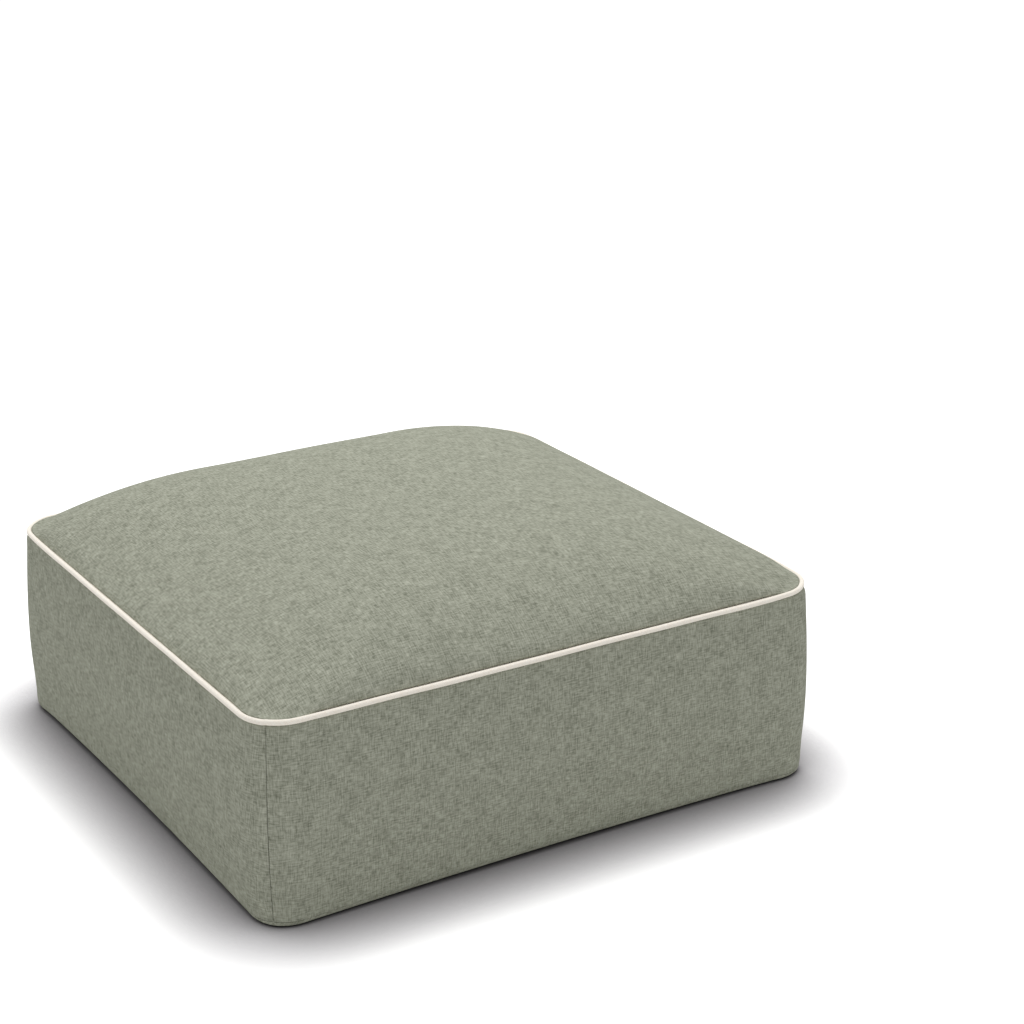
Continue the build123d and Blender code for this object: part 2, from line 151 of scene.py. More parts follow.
# The wadding and the bladder, by depths under the cover's outside
wadding_outer = 3.2 * mm
wadding_inner = 11.7 * mm
wadding_rim_inset = 2.5 * mm
wadding_corner_cut = 14 * mm
wadding_cover = 2.4 * mm     # least height of the crown over the wadding
wadding_tufts = 0.35 * mm
seam_room = 2.7 * mm         # from the seam up to the top's wadding
zip_room = 4.7 * mm
bladder_inset = 12.3 * mm
bladder_floor = 1.95 * mm
bladder_rim_lift = 0.45 * mm
bladder_rim_gap = 0.6 * mm
film_thickness = 0.5 * mm
weld_height = 17.4 * mm
weld_width = 4 * mm
weld_shares = (0.1, 0.4, 0.7, 1)
groove_depth = 3 * mm
groove_width = 9 * mm
groove_fade = 12 * mm
baffle_half_length = 280 * mm
baffle_billow = 2 * mm
tab_half_width = 10 * mm
valve_hole_radius = 36 * mm

# The cap's mouldings
cap_ring_radius = 18 * mm
cap_ridge = 0.5 * mm
cap_ridge_seat = 0.1 * mm

# The sides: half the straight stretch, core line to the middle, and turn about Z
sides = {
    "front": (straight_x, straight_y, 0),
    "right": (straight_y, straight_x, pi / 2),
    "back": (straight_x, straight_y, pi),
    "left": (straight_y, straight_x, 3 * pi / 2),
}


# Unit vectors
def unit(vectors):
    return vectors / np.maximum(np.linalg.norm(vectors, axis=-1, keepdims=True), 1e-12)


# Points from their coordinates, each an array or a single value
def spots(x, y, z):
    return np.stack(np.broadcast_arrays(x, y, z), axis=-1)


# Lengths along lines of points, from their first
def lengths_along(points, axis=0):
    steps = np.linalg.norm(np.diff(points, axis=axis), axis=-1)
    return np.insert(np.cumsum(steps, axis=axis), 0, 0, axis=axis)


# A share that fades from 1 with distance
def close_to(distance, reach):
    return np.exp(-(distance / reach) ** 2)


# How far a seam pulls the cloth in, at distances from it
def dip(distance, depth=seam_dip, width=seam_dip_width):
    return depth * close_to(distance, width)


# How far a wall stands out from its core line at heights, where the edge below has a radius
def wall_reach(heights, edge_radius):
    rising = heights / bulge_height
    falling = (seam_height - heights) / (seam_height - bulge_height)
    bulge = side_bulge * np.sin(pi / 2 * np.where(heights < bulge_height, rising, falling))
    level = np.clip(1 - heights / edge_radius, 0, 1)
    return corner_radius + bulge - edge_radius * (1 - np.sqrt(1 - level ** 2))


# The places and outward directions on a side's core line, at distances from its middle
def core_line(side, along):
    half_straight, offset, turn = sides[side]
    angle = np.clip(np.abs(along) - half_straight, 0, None) / corner_radius * np.sign(along)
    c, s = round(cos(turn)), round(sin(turn))
    spin = np.array([[c, s, 0], [-s, c, 0], [0, 0, 1]], float)
    core = spots(np.clip(along, -half_straight, half_straight), -offset, 0)
    return core @ spin, spots(np.sin(angle), -np.cos(angle), 0) @ spin


# How far points lie outside a rounded rectangle
def outside_by(x, y, half_x, half_y, corner):
    over_x = np.abs(x) - half_x + corner
    over_y = np.abs(y) - half_y + corner
    beyond = np.hypot(np.maximum(over_x, 0), np.maximum(over_y, 0))
    return beyond + np.minimum(np.maximum(over_x, over_y), 0) - corner


# How far the top seam is drawn in at places by it
def seam_drawn(x, y):
    over_x, over_y = np.abs(x) - straight_x, np.abs(y) - straight_y
    turned = corner_radius * np.abs(np.arctan2(over_y, over_x) - pi / 4)
    passed = quarter_half + np.maximum(-over_x, 0) + np.maximum(-over_y, 0)
    from_corner = np.where((over_x > 0) & (over_y > 0), turned, passed)
    draw = np.where((x < 0) & (y < 0), near_corner_draw, corner_draw)
    return seam_draw + draw * close_to(from_corner, corner_draw_reach)


# Points of the top, moved in with the seam where they lie near it
def drawn_in(points):
    x, y = points[..., 0], points[..., 1]
    over = np.maximum(np.abs(points[..., :2]) - (straight_x, straight_y), 0)
    outward = unit(over) * np.sign(points[..., :2])
    inside = -outside_by(x, y, half_width, half_depth, corner_radius)
    moved = points.copy()
    moved[..., :2] -= outward * (seam_drawn(x, y) * close_to(inside, draw_fade))[..., None]
    return moved


# How far a wall is drawn in under the seam, on a course's core line and at heights
def wall_drawn(core, outward, heights):
    seam = core + outward * corner_radius
    near = np.clip(1 - (seam_height - heights) / shoulder_height, 0, 1)
    return seam_drawn(seam[:, 0], seam[:, 1])[:, None] * near ** 2


# A side's half length, out to the middles of its corners
def side_reach(side):
    return sides[side][0] + quarter_half


# How near places on a side are to its corners, as a share
def at_corner(side, along):
    return close_to(side_reach(side) - np.abs(along), corner_draw_reach)


# How much further a wall stands out near the floor by its corners, except by the nearest corner
def foot_at(side, along, heights):
    core, outward = core_line(side, along)
    corner = core + outward * corner_radius
    spread = np.where((corner[:, 0] < 0) & (corner[:, 1] < 0), 0, foot_spread) * at_corner(side, along)
    return spread[:, None] * np.clip(1 - heights / foot_height, 0, None) ** 2


# The radius of the edge under a side, which is rounder between the corners
def edge_radius_at(side, along):
    return base_edge_radius + base_edge_slack * (1 - (along / side_reach(side)) ** 2)


# A grid of points that stand out from a course by their reach, at heights
def stood_out(core, outward, reach, heights):
    points = core[:, None] + outward[:, None] * reach[..., None]
    points[..., 2] = heights
    return points


# A grid of points on a side's wall
def wall_grid(side, along, heights):
    core, outward = core_line(side, along)
    reach = wall_reach(heights, edge_radius_at(side, along)[:, None])
    reach = reach - wall_drawn(core, outward, heights) + foot_at(side, along, heights)
    return stood_out(core, outward, reach, heights)


# Half width, half depth and corner radius of the crown's levels at shares of its rise
def crown_level(share):
    fall = share ** (1 / crown_fullness)
    power = (crown_power_x + crown_power_y) / 2
    reach = (1 - fall) ** (1 / power)
    corner_reach = (1 - fall ** 0.5) ** (1 / power)
    half_x = (1 - fall) ** (1 / crown_power_x) * half_width
    half_y = (1 - fall) ** (1 / crown_power_y) * half_depth
    rounding = crown_corner_share * (reach - corner_reach) * half_width / (1 - 0.5 ** 0.5)
    corner = np.minimum(corner_radius + rounding, corner_limit_share * np.minimum(half_x, half_y))
    return half_x, half_y, corner


# The crown's height over points in plan, found by halving
def crown_height(x, y):
    low, high = np.zeros_like(x), np.ones_like(x)
    for _ in range(40):
        middle = (low + high) / 2
        inside = outside_by(x, y, *crown_level(middle)) < 0
        low, high = np.where(inside, middle, low), np.where(inside, high, middle)
    return seam_height + crown_rise * low


# A grid of points in plan that fills the outline given by a reach for each side
def plan_grid(shares_x, shares_y, reach_at):
    rims = {}
    for side, shares in (("front", shares_x), ("right", shares_y), ("back", -shares_x), ("left", -shares_y)):
        along = shares * side_reach(side)
        core, outward = core_line(side, along)
        rims[side] = core + outward * np.broadcast_to(reach_at(side, along), along.shape)[:, None]
    u, v = (shares_x[:, None, None] + 1) / 2, (shares_y[None, :, None] + 1) / 2
    front, back = rims["front"][:, None], rims["back"][:, None]
    left, right = rims["left"][None], rims["right"][None]
    ruled = (1 - v) * front + v * back + (1 - u) * left + u * right
    corners = ((1 - u) * (1 - v) * front[:1] + u * (1 - v) * front[-1:]
               + (1 - u) * v * back[:1] + u * v * back[-1:])
    return ruled - corners


# A grid in plan, lifted onto the crown
def crown_grid(shares, reach_at):
    points = plan_grid(*shares, reach_at)
    points[..., 2] = crown_height(points[..., 0], points[..., 1])
    return points


# The base's height over a grid in plan, which curves up to its seam
def base_height(points, shares_x, shares_y):
    nearest = np.minimum(np.abs(shares_x)[:, None], np.abs(shares_y)[None, :])
    radius = base_edge_radius + base_edge_slack * (1 - nearest ** 2)
    nominal = wall_reach(base_seam_height, base_edge_radius)
    x, y = points[..., 0], points[..., 1]
    inside = -outside_by(x, y, straight_x + nominal, straight_y + nominal, nominal)
    inside -= nominal - wall_reach(base_seam_height, radius)
    foot = np.where((x < 0) & (y < 0), 0, foot_spread) * (1 - base_seam_height / foot_height) ** 2
    inside += foot * close_to(side_reach("front") * (1 - nearest), corner_draw_reach)
    run = radius * np.sqrt(1 - (1 - base_seam_height / radius) ** 2)
    return radius - np.sqrt(radius ** 2 - np.clip(run - inside, 0, run) ** 2)


# The base as a grid whose rim lies an inset inside its seam
def base_grid(shares_x, shares_y, inset):
    def reach_at(side, along):
        reach = wall_reach(base_seam_height, edge_radius_at(side, along))
        return reach + foot_at(side, along, base_seam_height)[:, 0] - inset
    points = plan_grid(shares_x, shares_y, reach_at)
    points[..., 2] = base_height(points, shares_x, shares_y)
    return points


# Places from low to high, close together at both ends and no more than a step apart
def spaced(low, high, step=cloth_step, finest=finest_step, growth=1.45):
    sizes, size = [], finest
    while size < step and sum(sizes) + size < (high - low) / 3:
        sizes.append(size)
        size *= growth
    ends = np.concatenate([[0], np.cumsum(sizes)])
    room = high - low - 2 * ends[-1]
    count = max(1, int(np.ceil(room / step)))
    middle = low + ends[-1] + room * np.arange(1, count) / count
    return np.concatenate([low + ends, middle, (high - ends)[::-1]])


# Shares from -1 to 1 for both directions of a grid in plan
def plan_shares(step=cloth_step, finest=finest_step):
    reaches = [side_reach(side) for side in ("front", "right")]
    return [spaced(-reach, reach, step, finest) / reach for reach in reaches]


# Outward normals of a grid, whose corner points take theirs from the points beside them
def grid_normals(points):
    normals = unit(np.cross(np.gradient(points, axis=0), np.gradient(points, axis=1)))
    for row, next_row in ((0, 1), (-1, -2)):
        for column, next_column in ((0, 1), (-1, -2)):
            normals[row, column] = unit(normals[next_row, column] + normals[row, next_column])
    return normals


# Moves a grid's points along their normals
def pushed(points, out):
    return points + grid_normals(points) * np.asarray(out)[..., None]


# Points a depth inside a surface, and not below a level
def sunk(points, depth, level):
    deeper = pushed(points, -depth)
    deeper[..., 2] = np.maximum(deeper[..., 2], level)
    return deeper


# Distances along a grid's lines, from its middle, as the cloth's own coordinates
def cut_places(points):
    places = []
    for axis in (0, 1):
        lengths = lengths_along(points, axis)
        places.append(lengths - np.take(lengths, [points.shape[axis] // 2], axis=axis))
    return spots(*places, 0)


# The rim of a grid of point numbers, with the grid on its left
def rim_of(numbers):
    return [*numbers[:-1, 0], *numbers[-1, :-1], *numbers[:0:-1, -1], *numbers[0, :0:-1]]


# The normals at a rim, from those of its grid
def rim_normals(normals, numbers, loop):
    return normals.reshape(-1, 3)[np.array(loop) - numbers[0, 0]]


# A cloth or solid under construction: points, faces and each point's place on the flat cut
class Draft:
    def __init__(self):
        self.points, self.faces, self.cuts = [], [], []

    # Adds points in rows of a width, with their places on the cut, and returns their numbers
    def add(self, points, cuts, width):
        numbers = len(self.points) + np.arange(points.size // 3).reshape(-1, width)
        self.points.extend(map(tuple, points.reshape(-1, 3)))
        self.cuts.extend(map(tuple, cuts.reshape(-1, 3)))
        return numbers

    # The points with the given numbers
    def at(self, numbers):
        return np.array([self.points[n] for n in numbers])

    # Adds a grid, leaves out the cells for which hole is true, and returns the points' numbers
    def grid(self, points, cuts=None, hole=None, around=False):
        rows, columns = points.shape[:2]
        numbers = self.add(points, points if cuts is None else cuts, columns)
        for i in range(rows if around else rows - 1):
            after = (i + 1) % rows
            for j in range(columns - 1):
                if hole is None or not hole[i, j]:
                    self.faces.append((int(numbers[i, j]), int(numbers[after, j]),
                                       int(numbers[after, j + 1]), int(numbers[i, j + 1])))
        return numbers

    # Joins two closed loops with faces
    def bridge(self, loop, other):
        for k in range(len(loop)):
            after = (k + 1) % len(loop)
            self.faces.append((int(loop[k]), int(other[k]), int(other[after]), int(loop[after])))

    # Adds rings of points outside a closed loop, one after another, and returns the last
    def widen(self, loop, rings, cuts=None):
        before = loop
        for ring, flat in zip(rings, rings if cuts is None else cuts):
            now = self.add(ring, flat, len(loop))[0]
            self.bridge(before, now)
            before = now
        return before

    # Rolls an edge of the cloth under along a closed loop, which keeps the cloth on its left
    def turn_under(self, loop, normals, angle, radius=turn_radius, allowance=turn_allowance, steps=3):
        edge = self.at(loop)
        cuts = np.array([self.cuts[n] for n in loop])
        course = np.roll(edge, -1, axis=0) - np.roll(edge, 1, axis=0)
        forward = unit(np.cross(course, normals))
        cut_forward = unit(cuts - cuts.mean(0))
        angle = np.broadcast_to(angle, len(loop))[:, None]
        angles = [angle * (k + 1) / steps for k in range(steps)]
        lengths = [radius * a for a in angles] + [radius * angle + allowance]
        rings = [edge + forward * radius * np.sin(a) - normals * radius * (1 - np.cos(a)) for a in angles]
        rings.append(rings[-1] + (forward * np.cos(angle) - normals * np.sin(angle)) * allowance)
        return self.widen(loop, rings, [cuts + cut_forward * length for length in lengths])

    # Adds the welded edge that a film has outside its rim
    def weld(self, loop, outward):
        self.widen(loop, [self.at(loop) + outward * weld_width * share for share in weld_shares])

    # Adds a round bar along a course, closed into a ring or with its ends capped
    def bar(self, course, up, radius, sides=6, closed=False):
        course = np.asarray(course, float)
        if closed:
            forward = unit(np.roll(course, -1, axis=0) - np.roll(course, 1, axis=0))
        else:
            forward = unit(np.gradient(course, axis=0))
        across = unit(np.cross(forward, up))
        rise = np.cross(across, forward)
        angles = 2 * pi * np.arange(sides)[:, None] / sides
        around = np.cos(angles) * across[:, None] + np.sin(angles) * rise[:, None]
        rings = course[:, None] + around * np.broadcast_to(radius, len(course))[:, None, None]
        loops = self.add(rings, rings, sides)
        for i in range(len(course) if closed else len(course) - 1):
            self.bridge(loops[i], loops[(i + 1) % len(course)])
        if not closed:
            self.faces.append(tuple(map(int, loops[0])))
            self.faces.append(tuple(map(int, loops[-1][::-1])))


# A new object in the scene
def placed(name, data):
    made = bpy.data.objects.new(name, data)
    bpy.context.scene.collection.objects.link(made)
    return made


# A new mesh object in the scene
def mesh_object(name, points, faces):
    mesh = bpy.data.meshes.new(name)
    mesh.from_pydata(points, [], faces)
    return placed(name, mesh)


# Simulation of the cover as one closed skin, blown up by the air inside
sim_step = 9 * mm
sim_frames = 20
sim_pressure = 4
sim_start_inset = 2 * mm     # it starts this much smaller and swells
sim_limit = 3 * mm           # the most that it may move a point of the form
merge_step = finest_step / 8
skin_grids = {}


# Blows up the cover's skin and keeps how far each point of each grid moved outward
def simulate_skin():
    shares = {}
    for side in sides:
        reach = side_reach(side)
        shares[side] = np.linspace(-1, 1, 2 * round(reach / sim_step) + 1)
    heights = np.linspace(base_seam_height, seam_height, round((seam_height - base_seam_height) / sim_step))
    plan = shares["front"], shares["right"]
    grids = {"top": drawn_in(crown_grid(plan, lambda side, along: corner_radius)),
             "base": base_grid(*plan, 0)[::-1]}
    for side in sides:
        grids[side] = wall_grid(side, shares[side] * side_reach(side), heights)
    normals = {name: grid_normals(points) for name, points in grids.items()}
    free = {}
    for name, points in grids.items():
        free[name] = np.zeros(points.shape[:2])
        if name != "base":
            free[name][1:-1, 1:-1] = 1
    starts = np.concatenate([(grids[n] - normals[n] * (free[n] * sim_start_inset)[..., None]).reshape(-1, 3)
                             for n in grids])
    rest = np.concatenate([grids[n].reshape(-1, 3) for n in grids])
    _, first, merged = np.unique(np.round(rest / merge_step).astype(int), axis=0,
                                 return_index=True, return_inverse=True)
    merged = merged.ravel()
    draft = Draft()
    for points in grids.values():
        draft.grid(points)
    faces = [tuple(int(merged[n]) for n in face) for face in draft.faces]
    held = np.concatenate([1 - free[n].ravel() for n in grids])[first]
    moved = blow_up(starts[first], [f for f in faces if len(set(f)) == 4], held)[merged]
    start = 0
    for name, points in grids.items():
        count = points.shape[0] * points.shape[1]
        shift = (moved[start:start + count] - rest[start:start + count]).reshape(points.shape)
        outward = (shift * normals[name]).sum(-1)
        skin_grids[name] = sim_limit * np.tanh(outward / sim_limit)
        start += count


# Runs the cloth under pressure and returns its points
def blow_up(points, faces, held):
    skin = mesh_object("skin", points.tolist(), faces)
    group = skin.vertex_groups.new(name="held")
    group.add([int(n) for n in np.nonzero(held)[0]], 1.0, "REPLACE")
    cloth = skin.modifiers.new("cloth", "CLOTH")
    cloth.settings.quality = 5
    cloth.settings.mass = 0.3
    cloth.settings.tension_stiffness = cloth.settings.compression_stiffness = 40
    cloth.settings.shear_stiffness = 20
    cloth.settings.bending_stiffness = 2
    cloth.settings.vertex_group_mass = "held"
    cloth.settings.use_pressure = True
    cloth.settings.uniform_pressure_force = sim_pressure
    cloth.settings.effector_weights.gravity = 0
    cloth.point_cache.frame_end = sim_frames
    for number in range(1, sim_frames + 1):
        bpy.context.scene.frame_set(number)
    shown = skin.evaluated_get(bpy.context.evaluated_depsgraph_get())
    result = np.array([v.co for v in shown.data.vertices], float)
    bpy.data.objects.remove(skin)
    bpy.context.scene.frame_set(1)
    return result


# Weights of a smooth curve through count even samples, at places from 0 to 1
def spline_weights(places, count):
    at = np.clip(places, 0, 1) * (count - 1)
    first = np.minimum(np.floor(at).astype(int), count - 2)
    t = at - first
    parts = ((1 - t) ** 3, 3 * t ** 3 - 6 * t ** 2 + 4, -3 * t ** 3 + 3 * t ** 2 + 3 * t + 1, t ** 3)
    weights = np.zeros((len(at), count))
    for k, part in enumerate(parts):
        np.add.at(weights, (np.arange(len(at)), np.clip(first + k - 1, 0, count - 1)), part / 6)
    return weights


# How far the air moves a panel's cloth out, over its places from 0 to 1 each way
def swelling(name, places_x, places_y):
    if name not in skin_grids:
        return np.zeros((len(places_x), len(places_y)))
    moved = skin_grids[name]
    return spline_weights(places_x, moved.shape[0]) @ moved @ spline_weights(places_y, moved.shape[1]).T


# Slow, shallow unevenness of stuffed cloth at points
def unevenness(points, size, seed=11):
    draw = np.random.default_rng(seed)
    waves = draw.normal(0, 1, (wave_count, 3)) / wave_length
    phases = draw.uniform(0, 2 * pi, wave_count)
    total = sum(np.sin(points @ wave + phase) for wave, phase in zip(waves, phases))
    return size * total / wave_count ** 0.5


# What a node puts out, which takes sums and products as a number does
class Signal:
    def __init__(self, tree, socket):
        self.tree, self.socket = tree, socket

    def math(self, operation, other=0.0):
        return node(self.tree, "Math", {0: self, 1: other}, operation=operation)

    def __add__(self, other):
        return self.math("ADD", other)

    def __sub__(self, other):
        return self.math("SUBTRACT", other)

    def __mul__(self, other):
        return self.math("MULTIPLY", other)

    def __pow__(self, other):
        return self.math("POWER", other)


# Gives a socket a link or a plain value
def feed(socket, value):
    if isinstance(value, Signal):
        value.tree.links.new(value.socket, socket)
    else:
        socket.default_value = value


# A node with its inputs fed, and the output that is wanted
def node(tree, kind, inputs=None, output=0, **settings):
    made = tree.nodes.new("ShaderNode" + kind)
    for name, value in settings.items():
        setattr(made, name, value)
    for place, value in (inputs or {}).items():
        feed(made.inputs[place], value)
    return Signal(tree, made.outputs[output])


# A colour as it looks on a screen, as the shader wants it
def screen(red, green, blue):
    return tuple((c / 255 / 12.92) if c <= 10 else ((c / 255 + 0.055) / 1.055) ** 2.4
                 for c in (red, green, blue)) + (1.0,)


# A blend of two colours
def blend_colours(tree, factor, a, b):
    return node(tree, "Mix", {0: factor, 6: a, 7: b}, output=2, data_type="RGBA", clamp_factor=True)


# Noise over coordinates scaled by features of given lengths
def grain(where, lengths, detail=2.0, roughness=0.55, flat=False):
    scale = tuple(1 / length for length in lengths)
    scaled = node(where.tree, "VectorMath", {0: where, 1: scale}, operation="MULTIPLY")
    inputs = {"Vector": scaled, "Scale": 1.0, "Detail": detail, "Roughness": roughness}
    return node(where.tree, "TexNoise", inputs, noise_dimensions="2D" if flat else "3D")


# The two sets of yarns of a plain weave, as noise drawn out along them
def yarns(where, slub, yarn):
    return grain(where, (slub, yarn, 1), flat=True), grain(where, (yarn, slub, 1), flat=True)


# The small squares of a plain weave, where its yarns pass over and under
def crossings(where, pitch):
    ribs = []
    for axis in (0, 1):
        place = node(where.tree, "SeparateXYZ", {0: where}, output=axis)
        ribs.append((place * (2 * pi / pitch)).math("SINE"))
    return ribs[0] * ribs[1]


# An empty material with a Principled shader, and its tree
def blank(name, **sockets):
    made = bpy.data.materials.new(name)
    made.use_nodes = True
    for place, value in sockets.items():
        made.node_tree.nodes["Principled BSDF"].inputs[place.replace("_", " ")].default_value = value
    return made, made.node_tree


# Links a blend of colours, a roughness and a height to a material's shader
def dress(made, blend, dark, light, roughness, height, strength=0.3, distance=0.4 * mm):
    tree = made.node_tree
    bump = node(tree, "Bump", {"Strength": strength, "Distance": distance, "Height": height})
    shader = tree.nodes["Principled BSDF"]
    feed(shader.inputs["Base Color"], blend_colours(tree, blend + 0.5, dark, light))
    feed(shader.inputs["Roughness"], roughness)
    feed(shader.inputs["Normal"], bump)
    return made


# A woven cloth of slubby yarns, on the piece's own flat cut
def woven(name, dark, light, pitch=1.1 * mm, slub=11 * mm, yarn=1.7 * mm, contrast=0.64):
    made, tree = blank(name, Sheen_Weight=0.02, Sheen_Roughness=0.6, Specular_IOR_Level=0.015)
    cut = node(tree, "Attribute", attribute_name="cut", output=1)
    warp, weft = yarns(cut, slub, yarn)
    cloud = grain(cut, (26 * mm, 26 * mm, 1), detail=3.0, flat=True)
    over = crossings(cut, 2 * pitch)
    blend = (warp - 0.5) * (1.5 * contrast) + (weft - 0.5) * (1.5 * contrast)
    blend = blend + (cloud - 0.5) * (0.55 * contrast) + over * (0.10 * contrast)
    return dress(made, blend, dark, light, (cloud - 0.5) * 0.2 + 0.82, over * 0.35 + (warp + weft), 0.35)


# Casing of the piping: a fine bias-cut weave, so its yarns run slantwise
def bias_woven(name, dark, light):
    made, tree = blank(name, Sheen_Weight=0.25, Sheen_Roughness=0.5, Specular_IOR_Level=0.2)
    cut = node(tree, "Attribute", attribute_name="cut", output=1)
    turned = node(tree, "Mapping", {"Vector": cut, "Rotation": (0, 0, pi / 4)})
    warp, weft = yarns(turned, 7 * mm, 0.9 * mm)
    over = crossings(turned, 1.3 * mm)
    blend = (warp - 0.5) * 1.4 + (weft - 0.5) * 1.4 + over * 0.22
    return dress(made, blend, dark, light, (warp - 0.5) * 0.2 + 0.78, over * 0.5 + (warp + weft))


# Fibres laid every way, as in wadding, cord or felt
def fibrous(name, dark, light, length):
    made, tree = blank(name, Sheen_Weight=0.2, Specular_IOR_Level=0.1)
    where = node(tree, "TexCoord", output=3)
    tangle = grain(where, (length,) * 3, detail=6.0, roughness=0.7)
    hairs = grain(where, (length / 6, length * 1.5, length / 3), detail=4.0, roughness=0.65)
    blend = (tangle - 0.5) * 1.2 + (hairs - 0.5)
    return dress(made, blend, dark, light, hairs * 0.1 + 0.85, tangle + hairs, 0.6)


# Moulded or welded plastic, with a fine mould grain and faint flow marks
def moulded(name, dark, light, roughness, coat=0.0, grain_length=1.2 * mm, bump=0.12):
    made, tree = blank(name, Coat_Weight=coat, Coat_Roughness=0.3, IOR=1.5)
    where = node(tree, "TexCoord", output=3)
    fine = grain(where, (grain_length,) * 3, detail=3.0)
    broad = grain(where, (grain_length * 25,) * 3, detail=3.0)
    blend = (fine - 0.5) * 0.6 + (broad - 0.5)
    return dress(made, blend, dark, light, (fine + broad - 0.5) * 0.18 + roughness, fine, bump, 0.2 * mm)


# Plated or drawn metal, brushed along X, with worn and duller patches
def brushed(name, dark, light, roughness):
    made, tree = blank(name, Metallic=1.0)
    where = node(tree, "TexCoord", output=3)
    lines = grain(where, (9 * mm, 0.12 * mm, 0.12 * mm), detail=3.0)
    patches = grain(where, (3 * mm,) * 3, detail=4.0, roughness=0.65)
    blend = (lines - 0.5) * 0.7 + (patches - 0.5) * 1.3 + 0.05
    rough = (lines - 0.5) * 0.15 + (patches - 0.5) * 0.3 + roughness
    return dress(made, blend, dark, light, rough, lines, 0.12, 0.05 * mm)


# Each slot's kind of material, its dark and light colour, and what else it is made with
finishes = {
    "cover_fabric": (woven, (107, 110, 95), (187, 189, 173), {}),
    "cover_thread": (fibrous, (128, 131, 117), (176, 178, 164), {"length": 1.2 * mm}),
    "piping_fabric": (bias_woven, (248, 237, 222), (255, 251, 241), {}),
    "piping_cord": (fibrous, (222, 216, 204), (248, 244, 236), {"length": 1.6 * mm}),
    "zip_tape": (woven, (96, 99, 87), (146, 148, 135),
                 {"pitch": 0.6 * mm, "slub": 3 * mm, "yarn": 0.5 * mm, "contrast": 0.7}),
    "zip_coil": (moulded, (88, 91, 80), (124, 126, 114), {"roughness": 0.38, "grain_length": 0.8 * mm}),
    "zip_metal": (moulded, (100, 103, 92), (132, 134, 122), {"roughness": 0.34, "coat": 0.35, "bump": 0.08}),
    "wadding": (fibrous, (214, 213, 208), (247, 246, 243), {"length": 5 * mm}),
    "bladder_film": (moulded, (180, 185, 188), (210, 214, 217),
                     {"roughness": 0.3, "coat": 0.3, "grain_length": 1.6 * mm}),
    "valve_plastic": (moulded, (200, 200, 196), (226, 226, 222), {"roughness": 0.42, "bump": 0.2}),
    "valve_insert_plastic": (moulded, (164, 166, 164), (192, 194, 191), {"roughness": 0.4}),
    "silicone": (moulded, (188, 188, 184), (214, 214, 209), {"roughness": 0.5, "coat": 0.2, "bump": 0.05}),
    "steel": (brushed, (150, 151, 153), (214, 215, 217), {"roughness": 0.25}),
}
materials = {name: kind(name, screen(*dark), screen(*light), **more)
             for name, (kind, dark, light, more) in finishes.items()}

# Nodes that are kept, with their finish and how far their sharp edges are eased
kept_finishes = [
    ("zip_stops", "zip_metal", 0.3 * mm),
    ("zip_slider", "zip_metal", 0.25 * mm),
    ("zip_pull", "zip_metal", 0.35 * mm),
    ("valve_body", "valve_plastic", 0.3 * mm),
    ("valve_cap", "valve_plastic", 0.3 * mm),
    ("valve_insert", "valve_insert_plastic", 0.25 * mm),
    ("valve_flap", "silicone", 0.15 * mm),
    ("valve_seal_ring", "silicone", 0),
    ("valve_hinge_pin", "steel", 0.1 * mm),
]


# Makes a draft's object, thickens a cloth inward, puts it on its body, gives it its slot's material or the
# one named, and hides the node that it replaces
def make(draft, name, slot, replaced=None, thickness=0, body="ottoman", material=None):
    piece = mesh_object(name, draft.points, draft.faces)
    mesh = piece.data
    cut = mesh.attributes.new("cut", "FLOAT_VECTOR", "POINT")
    cut.data.foreach_set("vector", np.array(draft.cuts, np.float32).ravel())
    mesh.polygons.foreach_set("use_smooth", [True] * len(mesh.polygons))
    mesh.materials.append(materials[material or slot])
    mesh.validate()
    if thickness:
        solid = piece.modifiers.new("thickness", "SOLIDIFY")
        solid.thickness = thickness
        solid.offset = -1
        solid.use_rim = True
    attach(piece, body)
    if replaced:
        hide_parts(replaced)
    return piece


simulate_skin()

# Zip plane on the back wall, with X along the zip and Y up it
zone_low = wall_reach(zip_height - zip_zone / 2, base_edge_radius)
zone_high = wall_reach(zip_height + zip_zone / 2, base_edge_radius)
zip_lean = np.arctan((zone_high - zone_low) / zip_zone)
zip_origin = np.array([0, straight_y + (zone_low + zone_high) / 2, zip_height])


# Points in the zip's own plane, in the frame
def on_zip(x, y, z):
    c, s = cos(zip_lean), sin(zip_lean)
    return zip_origin + spots(-x, y * s + z * c, y * c - z * s)


